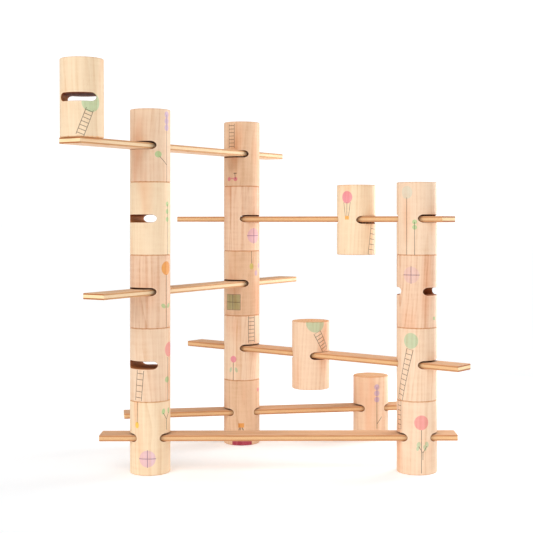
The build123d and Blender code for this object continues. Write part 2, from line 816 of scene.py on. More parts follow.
@dataclass(frozen=True)
class LogWood:
    """Turned maple: rings about a pith off the log's axis, long fibres, short dark flecks."""

    seed: float
    tone: Tone = Tone.PALE
    pith: tuple[float, float] = (26.0, 11.0)
    lean: tuple[float, float] = (0.03, 0.02)
    ring_gap: float = 3.4
    ring_drift: float = 11.0
    ring_strength: float = 0.34
    streak_strength: float = 0.8
    fibre_strength: float = 0.6
    fleck_strength: float = 0.3
    curl_strength: float = 0.35
    least_dark: float = 0.2
    ink_strength: float = 0.9
    # slot_open picks the lighter painted shade inside a slot that no slat fills
    slot_open: bool = False

    def rings(self, shader: Shader, at: Spot) -> Value:
        """The growth rings.

        Args:
            shader: The log's shader.
            at: Where on the log.

        Returns:
            How dark the ring is, from 0 to 1.
        """
        drift = shader.noise(at.point, (0.03, 0.03, 0.009), self.seed, 2.0)
        right = at.x - self.pith[0] - at.z * self.lean[0]
        back = at.y - self.pith[1] - at.z * self.lean[1]
        phase = (shader.length(right, back) + drift * self.ring_drift) / self.ring_gap
        share = phase - phase.floor()
        late = share.ramp(0.25, 0.92) * (1.0 - share.ramp(0.93, 1.0))
        return late * (shader.chance(phase.floor(), self.seed) * 0.85 + 0.25)

    def grain(self, shader: Shader, at: Spot) -> Grain:
        """What grew in the log.

        Args:
            shader: The log's shader.
            at: Where on the log.

        Returns:
            The grain.
        """
        return Grain(
            ring=self.rings(shader, at),
            fibre=shader.noise(at.point, (1.9, 1.9, 0.03), self.seed + 1, 3.0),
            streak=shader.noise(at.point, (0.28, 0.28, 0.005), self.seed + 2, 2.0),
            blush=shader.noise(at.point, (0.05, 0.05, 0.012), self.seed + 3, 1.0).ramp(0.0, 0.3),
            fleck=shader.noise(at.point, (3.6, 3.6, 0.22), self.seed + 4, 1.0).ramp(0.13, 0.26),
            ray=shader.noise(at.point, (0.9, 0.9, 0.9), self.seed + 5, 3.0),
            curl=shader.noise(at.point, (0.04, 0.04, 0.3), self.seed + 6, 1.0),
        )

    def bare_colour(self, shader: Shader, grain: Grain) -> bpy.types.NodeSocket:
        """The colour of the sanded side.

        Args:
            shader: The log's shader.
            grain: The log's grain.

        Returns:
            The colour.
        """
        dark = grain.ring * self.ring_strength + grain.streak * self.streak_strength
        dark = dark + grain.fibre * self.fibre_strength + grain.fleck * self.fleck_strength
        dark = dark + grain.curl * self.curl_strength + self.least_dark
        colour = shader.blend(dark.ramp(0.0, 1.0), self.tone.early, self.tone.late)
        return shader.blend(grain.blush * 0.5, colour, Tint.BLUSH.colour, "MULTIPLY")

    def cut_colour(self, shader: Shader, colour: Paint, grain: Grain, cuts: Cuts) -> bpy.types.NodeSocket:
        """The colour with the ends tinted, and with painted shade on the rims, in the slot and on its
        ceiling.

        Args:
            shader: The log's shader.
            colour: The colour of the sanded side.
            grain: The log's grain.
            cuts: Where the log has been cut.

        Returns:
            The tinted colour.
        """
        end = cuts.end * (0.55 + grain.ring * 0.45 + grain.ray * 0.8)
        colour = shader.blend(end, colour, Tint.END_GRAIN.colour, "MULTIPLY")
        # painted shade inside the slot, deeper where a slat fills it
        slot_shade_tint = Tint.EMPTY_SLOT_SHADE if self.slot_open else Tint.FILLED_SLOT_SHADE
        colour = shader.blend(cuts.routed, colour, slot_shade_tint.colour, "MULTIPLY")
        # painted shade on the slot's ceiling
        colour = shader.blend(cuts.ceiling * 0.8, colour, Tint.SLOT_CEILING_SHADE.colour, "MULTIPLY")
        colour = shader.blend(cuts.eased * 0.25, colour, Tint.EASED_MOUTH.colour)
        # painted shade on the rims, where stacked logs meet
        return shader.blend(cuts.rim * 0.6, colour, Tint.RIM_SHADE.colour, "MULTIPLY")

    def material(
        self, name: str, shape: LogShape, slot_heading: float, marks: Sequence[Mark]
    ) -> bpy.types.Material:
        """Makes a log's material.

        Args:
            name: The log's name.
            shape: The log's sizes.
            slot_heading: Which way its slot points, in degrees from the set's +X.
            marks: What is printed on it.

        Returns:
            The material.
        """
        shader = Shader(f"{name}_maple")
        at = Spot.of(shader)
        grain = self.grain(shader, at)
        cuts = Cuts.of(shader, at, shape)
        colour = self.cut_colour(shader, self.bare_colour(shader, grain), grain, cuts)

        angle = shader.maths("ARCTAN2", at.y, at.x)
        wall = Wall(shader, angle, at.z + shape.height / 2, shape.radius, slot_heading)
        worn = (1.0 - grain.fleck * 0.5 + grain.fibre * 0.5) * cuts.side
        colour, inked = self.print_marks(shader, wall, marks, colour, worn)

        roughness = 0.5 + grain.fibre * 0.28 + cuts.end * 0.16 + cuts.routed * 0.1
        roughness = roughness - cuts.eased * 0.06 - inked * 0.05
        relief = 0.5 + grain.fibre * 0.7 - grain.fleck * 0.35 - grain.ring * 0.15
        relief = relief + cuts.end * grain.ray * 0.8
        return shader.finish(colour, roughness, relief, 0.05, specular=0.12)

    def print_marks(
        self, shader: Shader, wall: Wall, marks: Sequence[Mark], colour: Paint, worn: Value
    ) -> tuple[Paint, Number]:
        """Prints the figures over the wood, one ink after another.

        Args:
            shader: The log's shader.
            wall: The log's side.
            marks: The figures.
            colour: The wood's colour.
            worn: How much of the ink the wood holds.

        Returns:
            The printed colour, and how much ink there is.
        """
        inked: Number = 0.0
        shapes: dict[Ink, Value] = {}
        for mark in marks:
            for layer in mark.layers(wall):
                before = shapes.get(layer.ink)
                shapes[layer.ink] = layer.distance if before is None else before.least(layer.distance)
        for ink in sorted(shapes, key=lambda ink: ink in (Ink.LINE, Ink.PLUM)):
            cover = shapes[ink].covers() * worn
            colour = shader.blend(cover * self.ink_strength, colour, ink.glaze(), "MULTIPLY")
            inked = cover.most(inked)
        return colour, inked


@dataclass(frozen=True)
class SlatPly:
    """Three-ply birch: pale veneer on the faces, tan outer plies and a lighter core on the edges."""

    seed: float
    ply: Ply
    band_gap: float = 5.2
    band_drift: float = 26.0

    def face(self, shader: Shader, at: Spot, veneer: Value, fibre: Value) -> bpy.types.NodeSocket:
        """The colour of the faces, banded where the peeled veneer crossed the rings.

        Args:
            shader: The slat's shader.
            at: Where on the slat.
            veneer: The veneer's figure.
            fibre: The wood's fibres.

        Returns:
            The colour.
        """
        wave = shader.noise(at.point, (0.006, 0.06, 0.06), self.seed, 2.0)
        bands = abs((at.y + wave * self.band_drift).wrapped(self.band_gap)) / (self.band_gap / 2)
        figure = bands.ramp(0.35, 1.0) * 0.4 + veneer * 1.3 + fibre * 0.6 + 0.3
        return shader.blend(figure.ramp(0.0, 1.1), *self.ply.face)

    def edge(
        self, shader: Shader, at: Spot, shape: SlatShape, fibre: Value, pore: Value
    ) -> bpy.types.NodeSocket:
        """The colour of the edges and the ends, where the plies and their glue lines show.

        Args:
            shader: The slat's shader.
            at: Where on the slat.
            shape: The slat's sizes.
            fibre: The wood's fibres.
            pore: The wood's pores.

        Returns:
            The colour.
        """
        cross = shader.noise(at.point, (2.6, 0.06, 2.6), self.seed + 3, 3.0)
        core_streak = (0.3 + cross * 1.2 + fibre * 0.5 + pore * 0.25).ramp(0.0, 1.0)
        outer_streak = (0.4 + fibre * 1.5).ramp(0.0, 1.0)
        from_glue = abs(at.z) - shape.core / 2
        outer = from_glue.ramp(-0.1, 0.1)
        core_colour = shader.blend(core_streak, *self.ply.core)
        colour = shader.blend(outer, core_colour, shader.blend(outer_streak, *self.ply.outer))
        glue = (abs(from_glue) - 0.1).covers(0.16)
        colour = shader.blend(glue * 0.6, colour, Tint.GLUE_LINE.colour)
        end = abs(at.x).ramp(shape.length / 2 - 0.35, shape.length / 2 - 0.1) * 0.7
        colour = shader.blend(end * outer, colour, Tint.OUTER_PLY_END.colour, "MULTIPLY")
        return shader.blend(end * (1.0 - outer), colour, Tint.CORE_END.colour)

    def material(self, name: str, shape: SlatShape) -> bpy.types.Material:
        """Makes a slat's material.

        Args:
            name: The slat's name.
            shape: The slat's sizes.

        Returns:
            The material.
        """
        shader = Shader(f"{name}_plywood")
        at = Spot.of(shader)
        veneer = shader.noise(at.point, (0.012, 0.55, 0.3), self.seed + 1, 4.0)
        fibre = shader.noise(at.point, (0.05, 3.2, 3.2), self.seed + 2, 3.0)
        pore = shader.noise(at.point, (3.0, 3.0, 3.0), self.seed + 4, 1.0).ramp(0.1, 0.3)
        face = self.face(shader, at, veneer, fibre)
        edge = self.edge(shader, at, shape, fibre, pore)
        on_edge = (shape.thickness / 2 - abs(at.z)).ramp(0.12, 0.4)

        roughness = 0.52 + fibre * 0.3 + on_edge * 0.12
        relief = 0.5 + fibre * 0.8 + veneer * 0.3 - pore * 0.2
        return shader.finish(shader.blend(on_edge, face, edge), roughness, relief, 0.05)


@dataclass(frozen=True)
class FloorPaint:
    """A matt white table, lit a little from below, more so far off, with the faintest unevenness."""

    glow: float = 0.3
    near: float = 150.0
    far: float = 900.0
    near_glow: Rgba = paint(214, 214, 214)
    far_glow: Rgba = paint(255, 255, 255)
    shades: Shades = (paint(247, 250, 253), paint(244, 247, 250))

    def material(self) -> bpy.types.Material:
        """Makes the floor's material.

        Returns:
            The material.
        """
        shader = Shader("studio_white")
        at = Spot.of(shader)
        cloud = shader.noise(at.point, (0.004, 0.004, 0.004), 2.0, 3.0)
        grit = shader.noise(at.point, (0.8, 0.8, 0.8), 3.0, 2.0)
        lit = shader.blend(at.y.ramp(self.near, self.far), self.near_glow, self.far_glow)
        shader.feed(shader.surface, {"Emission Color": lit, "Emission Strength": self.glow})
        colour = shader.blend(0.5 + cloud * 0.4, *self.shades)
        return shader.finish(colour, 0.85 + grit * 0.1, 0.5 + grit, 0.01, specular=0.1)


# ---------------------------------------------------------------- meshes


class Skin:
    """The points and faces of one closed mesh, gathered ring by ring."""

    def __init__(self) -> None:
        """Starts an empty mesh."""
        self.work = bmesh.new()

    def ring(self, points: Sequence[Vector]) -> list[bmesh.types.BMVert]:
        """Adds a ring of points, in millimetres."""
        return [self.work.verts.new(point * MM) for point in points]

    def bridge(self, rings: Sequence[Sequence[Vector]]) -> None:
        """Joins closed rings, each with as many points as the last, with faces.

        Args:
            rings: The rings' points, in order.
        """
        made = [self.ring(points) for points in rings]
        for first, second in zip(made, made[1:]):
            count = len(first)
            for here in range(count):
                ahead = (here + 1) % count
                self.work.faces.new((first[here], first[ahead], second[ahead], second[here]))

    def fan(self, points: Sequence[Vector], centre: Vector) -> None:
        """Closes a ring with faces that meet at its centre.

        Args:
            points: The ring's points.
            centre: Where the faces meet.
        """
        outer = self.ring(points)
        middle = self.work.verts.new(centre * MM)
        for here, ahead in zip(outer, [*outer[1:], outer[0]]):
            self.work.faces.new((here, ahead, middle))

    def mesh(self, name: str) -> bpy.types.Mesh:
        """Welds the points, turns the faces outwards and shades them smooth.

        Args:
            name: The mesh's name.

        Returns:
            The mesh.
        """
        weld = 0.0005 * MM
        bmesh.ops.remove_doubles(self.work, verts=self.work.verts[:], dist=weld)
        bmesh.ops.recalc_face_normals(self.work, faces=self.work.faces[:])
        for face in self.work.faces:
            face.smooth = True
        made = bpy.data.meshes.new(name)
        self.work.to_mesh(made)
        self.work.free()
        return made


@dataclass(frozen=True)
class LogShape:
    """A turned log with rounded rims and a round-ended slot through its middle, along X."""

    radius: float
    height: float
    rim_radius: float = 0.9
    slot_width: float = 32.5
    slot_height: float = 7.5
    mouth_easing: float = 0.7
    flat_steps: int = 26
    bend_steps: int = 12
    wall_steps: int = 8
    round_steps: int = 5
    wall_gather: float = 1.3
    channel_shares: tuple[float, ...] = (1, 0.6, 0.2, -0.2, -0.6, -1)
    cap_shares: tuple[float, ...] = (0.96, 0.8, 0.55, 0.3, 0.1)

    def slot_outline(self) -> list[tuple[Vector, Vector]]:
        """The slot's section, with X as zero.

        Returns:
            Points round the section, each with the way out from it.
        """
        bend = self.slot_height / 2
        flat = self.slot_width / 2 - bend
        outline = []
        for side in (1, -1):
            out = Vector((0, 0, side))
            for step in range(self.flat_steps):
                across = side * flat * (2 * step / self.flat_steps - 1)
                outline.append((Vector((0, across, side * bend)), out))
            for step in range(self.bend_steps):
                angle = math.radians(side * 90 - 180 * step / self.bend_steps)
                out_bend = Vector((0, math.cos(angle), math.sin(angle)))
                outline.append((Vector((0, side * flat, 0)) + out_bend * bend, out_bend))
        return outline

    def mouth_rings(self) -> list[list[Vector]]:
        """The eased mouth, from the log's side into the slot.

        A ball rolled round the edge shapes it. The ball is smaller where the edge is thin, so that
        the eased band stays about as wide all the way round.

        Returns:
            The rings.
        """
        rings: list[list[Vector]] = [[] for _ in range(self.round_steps + 1)]
        for point, out in self.slot_outline():
            slope = math.acos(out.y * point.y / self.radius)
            ball = self.mouth_easing * math.tan(min(slope, math.pi / 2) / 2)
            centre = point + out * ball
            centre.x = math.sqrt((self.radius - ball) ** 2 - centre.y**2)
            outward = Vector((centre.x, centre.y, 0)).normalized()
            sweep = outward.angle(-out)
            for step, ring in enumerate(rings):
                share = step / self.round_steps
                near = math.sin((1 - share) * sweep) / math.sin(sweep)
                far = math.sin(share * sweep) / math.sin(sweep)
                ring.append(centre + (outward * near - out * far) * ball)
        return rings

    def border(self, index: int) -> tuple[float, float]:
        """Where a mouth point's row of faces ends, on the edge of the log's front half.

        Args:
            index: The point's place in the outline.

        Returns:
            Its angle in radians from the slot, and its height.
        """
        quarter = self.bend_steps // 4
        across = self.flat_steps + 2 * quarter
        down = 2 * quarter
        lift = self.height / 2 - self.rim_radius
        place = (index + quarter) % (2 * (across + down))
        side = 1 if place < across + down else -1
        if side < 0:
            place -= across + down
        if place <= across:
            return side * math.pi * (place / across - 0.5), side * lift
        return side * math.pi / 2, side * lift * (1 - 2 * (place - across) / down)

    def wall_rings(self, mouth: Sequence[Vector]) -> list[list[Vector]]:
        """The log's side, from the edge of its front half to the slot's mouth.

        Args:
            mouth: The outermost ring of the mouth.

        Returns:
            The rings.
        """
        rings = []
        for step in range(self.wall_steps + 1):
            share = (1 - step / self.wall_steps) ** self.wall_gather
            ring = []
            for index, point in enumerate(mouth):
                edge_angle, edge_height = self.border(index)
                angle = math.atan2(point.y, point.x)
                angle += (edge_angle - angle) * share
                height = point.z + (edge_height - point.z) * share
                ring.append(Vector((self.radius * math.cos(angle), self.radius * math.sin(angle), height)))
            rings.append(ring)
        return rings

    def cap_rings(self, side: int) -> list[list[Vector]]:
        """A rounded rim and the flat end inside it.

        Args:
            side: 1 for the top, -1 for the foot.

        Returns:
            The rings, from the log's side to near its axis.
        """
        count = 2 * (self.flat_steps + self.bend_steps // 2)
        inner = self.radius - self.rim_radius
        profile = []
        for step in range(self.round_steps + 1):
            angle = math.pi / 2 * step / self.round_steps
            drop = self.rim_radius * (1 - math.sin(angle))
            profile.append((inner + self.rim_radius * math.cos(angle), self.height / 2 - drop))
        profile += [(inner * share, self.height / 2) for share in self.cap_shares]
        return [
            [
                Vector((reach * math.cos(turn), reach * math.sin(turn), side * lift))
                for turn in (math.tau * place / count - math.pi / 2 for place in range(count))
            ]
            for reach, lift in profile
        ]

    def mesh(self) -> bpy.types.Mesh:
        """Makes the log's mesh, centred on the origin.

        Returns:
            The mesh.
        """
        skin = Skin()
        mouth = self.mouth_rings()
        front = self.wall_rings(mouth[0]) + mouth[1:]
        channel = [
            [Vector((point.x * share, point.y, point.z)) for point in mouth[-1]]
            for share in self.channel_shares
        ]
        for side in (1, -1):
            skin.bridge([[Vector((side * point.x, point.y, point.z)) for point in ring] for ring in front])
        skin.bridge(channel)
        for side in (1, -1):
            cap = self.cap_rings(side)
            skin.bridge(cap)
            skin.fan(cap[-1], Vector((0, 0, side * self.height / 2)))
        return skin.mesh("log")


@dataclass(frozen=True)
class SlatShape:
    """A plywood slat along X, with eased long edges and a fine step at each glue line."""

    length: float
    width: float
    thickness: float
    edge_radius: float = 0.8
    end_radius: float = 0.3
    glue_step: float = 0.07
    glue_half: float = 0.13
    core: float = 3.0
    bend_steps: int = 5
    end_steps: int = 3
    long_steps: int = 30
    face_steps: int = 4

    def section(self) -> list[tuple[float, float]]:
        """The slat's section.

        Returns:
            Points round it, each as how far across and how far up.
        """
        flat = self.width / 2 - self.edge_radius
        upright = self.thickness / 2 - self.edge_radius
        ply = self.core / 2
        quarter = [
            (flat * step / self.face_steps, self.thickness / 2) for step in range(1, self.face_steps)
        ]
        for step in range(self.bend_steps + 1):
            angle = math.pi / 2 * (1 - step / self.bend_steps)
            across = flat + self.edge_radius * math.cos(angle)
            quarter.append((across, upright + self.edge_radius * math.sin(angle)))
        half_width = self.width / 2
        quarter += [
            (half_width, ply + self.glue_half),
            (half_width - self.glue_step, ply),
            (half_width, ply - self.glue_half),
            (half_width, 0.0),
        ]
        lower = [(across, -up) for across, up in reversed(quarter[:-1])]
        right = [(0.0, self.thickness / 2), *quarter, *lower]
        left = [(-across, -up) for across, up in right]
        return right + left

    def mesh(self) -> bpy.types.Mesh:
        """Makes the slat's mesh, centred on the origin.

        Returns:
            The mesh.
        """
        section = self.section()
        rounded: list[tuple[float, float]] = []
        for step in range(self.end_steps + 1):
            angle = math.pi / 2 * step / self.end_steps
            forward = self.end_radius * (1 - math.cos(angle)) - self.length / 2
            rounded.append((forward, self.end_radius * (1 - math.sin(angle))))
        start = rounded[-1][0]
        straight = [(start * (1 - 2 * step / self.long_steps), 0.0) for step in range(1, self.long_steps)]
        stations = rounded + straight + [(-forward, inset) for forward, inset in reversed(rounded)]
        skin = Skin()
        rings = [
            [
                Vector((x, across * (1 - 2 * inset / self.width), up * (1 - 2 * inset / self.thickness)))
                for across, up in section
            ]
            for x, inset in stations
        ]
        skin.bridge(rings)
        for ring in (rings[0], rings[-1]):
            skin.work.faces.new(skin.ring(ring))
        return skin.mesh("slat")


# ---------------------------------------------------------------- pieces


class Run(Enum):
    """The ways that slots and slats point, each from one log's axis to another's."""

    FRONT = ("left_tower_log_1", "right_tower_log_1")
    LEFT = ("left_tower_log_1", "rear_tower_log_1")
    RIGHT = ("rear_tower_log_1", "right_tower_log_1")
    REAR = ("rear_tower_log_1", "floor_log")

    def heading(self) -> float:
        """The way it points, in degrees from +X."""
        start, end = (middle_of(node) for node in self.value)
        return math.degrees(math.atan2(end.y - start.y, end.x - start.x))


def middle_of(node: str) -> Vector:
    """The middle of a CAD node, in metres."""
    low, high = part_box(node)
    return (low + high) / 2


def size_of(node: str) -> Vector:
    """The size of a CAD node, in millimetres."""
    low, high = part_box(node)
    return (high - low) / MM


def body_with(node: str) -> str:
    """The name of the body that a CAD node belongs to."""
    bodies = frame["record"]["behaviour"]["bodies"]
    return next(body for body, nodes in bodies.items() if node in nodes)


def top_slat_tilt() -> float:
    """How far the top slat's back end is raised, in radians."""
    level_slat = size_of("front_slat")
    return math.asin((size_of("top_slat").z - level_slat.z) / level_slat.x)


def put_in(name: str, data: bpy.types.ID) -> bpy.types.Object:
    """Adds an object to the scene.

    Args:
        name: The object's name.
        data: Its mesh, lamp or camera.

    Returns:
        The object.
    """
    added = bpy.data.objects.new(name, data)
    bpy.context.collection.objects.link(added)
    return added


@dataclass(frozen=True)
class Pattern:
    """A mesh, centred on its origin, that pieces of one kind are copied from, and their finish."""

    mesh: bpy.types.Mesh
    suffix: str
    finish: str
    even_weight: int = 60

    def copy_to(self, node: str, material: bpy.types.Material, turned: Matrix) -> bpy.types.Object:
        """Puts a copy where its CAD node is and lets it stand for the node.

        Args:
            node: The CAD node.
            material: What the copy is made of.
            turned: How the copy is turned.

        Returns:
            The copy.
        """
        own = self.mesh.copy()
        own.name = node
        own.materials.append(material)
        piece = put_in(f"{node}_{self.suffix}", own)
        shading = piece.modifiers.new("even_shading", "WEIGHTED_NORMAL")
        shading.weight = self.even_weight
        piece.matrix_world = Matrix.Translation(middle_of(node)) @ turned
        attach(piece, body_with(node))
        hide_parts(node)
        return piece


@dataclass(frozen=True)
class Log:
    """One log: which way its slot points, its wood and its print."""

    slot: Union[Run, float]
    wood: LogWood
    marks: Sequence[Mark] = ()
    on_top_slat: bool = False

    def heading(self) -> float:
        """Which way the slot points, in degrees from +X."""
        return self.slot.heading() if isinstance(self.slot, Run) else self.slot

    def turned(self) -> Matrix:
        """How the log is turned.

        Returns:
            The turn from upright with its slot along X.
        """
        spin = Matrix.Rotation(math.radians(self.heading()), 4, "Z")
        if not self.on_top_slat:
            return spin
        slat = Matrix.Rotation(math.radians(Run.LEFT.heading()), 4, "Z")
        return slat @ Matrix.Rotation(-top_slat_tilt(), 4, "Y") @ slat.inverted() @ spin


@dataclass(frozen=True)
class LogGroup:
    """Logs that belong together, each by the name of its CAD node."""

    name: str
    logs: Mapping[str, Log]

    @classmethod
    def tower(cls, side: str, logs: Sequence[Log]) -> LogGroup:
        """Stacks logs into a tower.

        Args:
            side: Where the tower stands.
            logs: Its logs, from the floor up.

        Returns:
            The tower.
        """
        named = {f"{side}_tower_log_{place}": one for place, one in enumerate(logs, 1)}
        return cls(f"{side} tower", named)

    def build(self, shape: LogShape, pattern: Pattern) -> None:
        """Makes every log of the group and reports each.

        Args:
            shape: The logs' sizes.
            pattern: What the logs are copied from.
        """
        for node, one in self.logs.items():
            material = one.wood.material(node, shape, one.heading(), one.marks)
            piece = pattern.copy_to(node, material, one.turned())
            report.info("%s: %s, slot at %.1f degrees", self.name, piece.name, one.heading())


@dataclass(frozen=True)
class Slat:
    """One slat: its CAD node, the way it points and its plywood."""

    node: str
    run: Run
    ply: Ply = Ply.WARM
    tilted: bool = False

    def turned(self) -> Matrix:
        """How the slat is turned from lying along X."""
        spin = Matrix.Rotation(math.radians(self.run.heading()), 4, "Z")
        return spin @ Matrix.Rotation(-top_slat_tilt(), 4, "Y") if self.tilted else spin


@dataclass(frozen=True)
class Slats:
    """The six slats that tie the towers together."""

    slats: Sequence[Slat] = (
        Slat("front_slat", Run.FRONT),
        Slat("rear_slat", Run.REAR),
        Slat("low_slat", Run.RIGHT),
        Slat("left_slat", Run.LEFT, Ply.FRESH),
        Slat("right_slat", Run.RIGHT),
        Slat("top_slat", Run.LEFT, Ply.FRESH, tilted=True),
    )
    first_seed: float = 1.0
    seed_gap: float = 4.3

    def build(self) -> None:
        """Makes every slat and reports each."""
        size = size_of("front_slat")
        shape = SlatShape(size.x, size.y, size.z)
        pattern = Pattern(shape.mesh(), "ply", "slat_plywood")
        for place, slat in enumerate(self.slats):
            wood = SlatPly(place * self.seed_gap + self.first_seed, slat.ply)
            piece = pattern.copy_to(slat.node, wood.material(slat.node, shape), slat.turned())
            report.info("slats: %s, heading %.1f degrees", piece.name, slat.run.heading())
        bpy.data.meshes.remove(pattern.mesh)


def left_tower() -> LogGroup:
    """The front left tower, from the floor up.

    Returns:
        The tower.
    """
    return LogGroup.tower(
        "left",
        [
            Log(
                Run.FRONT,
                LogWood(1.0, Tone.HONEY, (-24, 15), (0.02, 0.05)),
                [
                    Line(-123, 51, -122, 71.6),
                    Oval(-123.5, 49.3, 2.2, 3.2, Ink.YELLOW),
                    *sprig(-31, 60.4, 43.6),
                    Window(-91.4, 16.6, 8.2, 8.2, Ink.LILAC),
                    *flower(62, 48, 5.5, 4, Ink.CORAL),
                    Ladder(140, 2, 132, 30, rungs=5),
                ],
            ),
            Log(
                63.0,
                LogWood(2.0, Tone.PALE, (30, -12), (-0.04, 0.02), ring_strength=0.25, slot_open=True),
                [
                    Oval(-16, 50.5, 7.4, 7.4, Ink.CORAL),
                    Oval(-27, 21, 3.4, 3.0, Ink.GREEN),
                    Line(-24, 0, -24, 43),
                    Ladder(-119, 1.5, -112, 31.0, width=7.0, rungs=5),
                    *fruit_stem(110, [60, 53, 46], 2, Ink.ORANGE, 3.0),
                ],
            ),
            Log(
                Run.LEFT,
                LogWood(3.0, Tone.ROSY, (12, 25), (0.02, 0.03), ring_gap=2.6, streak_strength=1.5),
                [
                    Oval(-31, 59, 6.6, 6.8, Ink.ORANGE),
                    Line(-31, 0, -31, 53),
                    Oval(-42, 21.8, 3.2, 2.0, Ink.GREEN, lean=-30),
                    Oval(-20, 22.0, 3.2, 2.0, Ink.GREEN, lean=30),
                    Window(120, 18, 7.5, 7.5, Ink.OLIVE, round=False, overhang=0.0),
                ],
            ),
            Log(
                60.0,
                LogWood(
                    4.0, Tone.HONEY, (-35, -20), (0.03, 0.0),
                    ring_strength=0.15, streak_strength=0.5, slot_open=True,
                ),
                [*fruit_stem(-26, [50.3, 43.0, 35.2], 0, Ink.GREEN, 2.5), *tree(100, 58, 7.0, 20)],
            ),
            Log(
                Run.LEFT,
                LogWood(5.0, Tone.PALE, (20, -26), (0.05, 0.03), ring_strength=0.22),
                [
                    *fruit_stem(-29, [66.6, 60.2, 53.8], 0, Ink.PURPLE, 3.3),
                    Oval(-60, 27.1, 3.6, 3.2, Ink.GREEN),
                    Line(-56, 25, -29, 16.7),
                    *sprig(95, 58, 44),
                ],
            ),
        ],
    )


def rear_tower() -> LogGroup:
    """The rear tower, from the floor up.

    Returns:
        The tower.
    """
    return LogGroup.tower(
        "rear",
        [
            Log(
                Run.REAR,
                LogWood(6.0, Tone.TAN, (-18, 26), (0.0, 0.04)),
                [
                    Oval(-23, 60.4, 2.2, 2.2, Ink.PINK),
                    Block(-90, 22.4, 3.2, 2.4, Ink.ORANGE),
                    Line(-94, 20, -98, 16.8),
                    Line(-91.5, 20, -92.5, 17.2),
                    Line(-88, 20, -86, 17.2),
                    Line(-86, 20, -82, 16.8),
                    Block(-87, 2.6, 11.5, 2.5, Ink.MAGENTA),
                    *tree(80, 56, 7.5, 14),
                ],
            ),
            Log(
                Run.RIGHT,
                LogWood(7.0, Tone.PALE, (15, -22), (0.06, 0.05), ring_gap=2.6, streak_strength=1.5),
                [
                    Ladder(-55, 42, -55, 71.6, width=8.0, rungs=7),
                    *flower(-116, 23.7, 3.7, 0, Ink.PINK),
                    *sprig(95, 30, 6),
                ],
            ),
            Log(
                Run.LEFT,
                LogWood(8.0, Tone.TAN, (24, 16), (0.08, 0.06), ring_gap=3.4, ring_strength=0.3),
                [
                    Line(-55, 58, -55, 72),
                    Oval(-55, 54.9, 2.5, 3.4, Ink.LIME),
                    Line(-35, 50, -35, 72),
                    Oval(-35, 47.3, 2.4, 3.2, Ink.PURPLE),
                    Line(-18, 58, -18, 72),
                    Oval(-18, 55.2, 2.2, 3.0, Ink.PURPLE),
                    Window(-118, 15.1, 8.8, 8.6, Ink.OLIVE, round=False, overhang=0.0),
                    *fruit_stem(85, [62, 55], 8, Ink.YELLOW, 3.0),
                ],
            ),
            Log(
                Run.RIGHT,
                LogWood(9.0, Tone.ROSY, (-28, 8), (0.02, 0.02), ring_gap=2.4, streak_strength=1.5),
                [Window(-46, 17, 8.4, 8.4, Ink.LILAC), *hot_air_balloon(75, 58)],
            ),
            Log(
                Run.LEFT,
                LogWood(10.0, Tone.TAN, (32, 6), (0.03, 0.05)),
                [
                    Ladder(-123, 42.4, -123, 69.5, width=7.0, rungs=7),
                    *scooter(-121, 8.0),
                    *fruit_stem(60, [64, 57.5, 51], 0, Ink.PURPLE, 3.2),
                ],
            ),
        ],
    )


def right_tower() -> LogGroup:
    """The front right tower, from the floor up.

    Returns:
        The tower.
    """
    return LogGroup.tower(
        "right",
        [
            Log(
                Run.FRONT,
                LogWood(11.0, Tone.PALE, (-30, 14), (0.04, 0.02), ring_strength=0.22),
                [
                    Ladder(-157, 43.5, -157, 71.6, width=6.0, rungs=6),
                    *flower(-84, 51.6, 7.2, 2, Ink.CORAL),
                    *sprig(-80, 28.4, 15, Ink.PALE_GREEN),
                    *tree(60, 56, 7.0, 6),
                ],
            ),
            Log(
                Run.RIGHT,
                LogWood(12.0, Tone.PALE, (22, 20), (0.02, 0.06), ring_gap=3.0),
                [
                    Oval(-114.6, 59.8, 7.4, 7.8, Ink.PALE_GREEN),
                    Ladder(-152, 1.0, -117, 51.5, width=6.6, rungs=10),
                    Window(70, 18, 7.5, 7.5, Ink.PINK),
                ],
            ),
            Log(
                -24.0,
                LogWood(
                    13.0, Tone.ROSY, (-20, -25), (0.05, 0.02),
                    ring_gap=2.8, streak_strength=1.1, slot_open=True,
                ),
                [
                    Window(-113.7, 52.5, 8.2, 8.2, Ink.BLUSH),
                    Oval(-40.5, 9.4, 1.3, 1.9, Ink.GREEN, lean=28),
                    Oval(-35.5, 9.4, 1.3, 1.9, Ink.GREEN, lean=-28),
                    *fruit_stem(50, [58, 51.5, 45], 4, Ink.ORANGE, 3.0),
                ],
            ),
            Log(
                Run.RIGHT,
                LogWood(14.0, Tone.PALE, (28, -18), (0.02, 0.02), ring_strength=0.22),
                [
                    *tree(-127, 61.8, 6.0, 0, Ink.MIST),
                    *fruit_stem(-103.5, [32.7, 27.4], 0, Ink.GREEN, 2.3),
                    *sprig(55, 56, 43),
                ],
            ),
        ],
    )


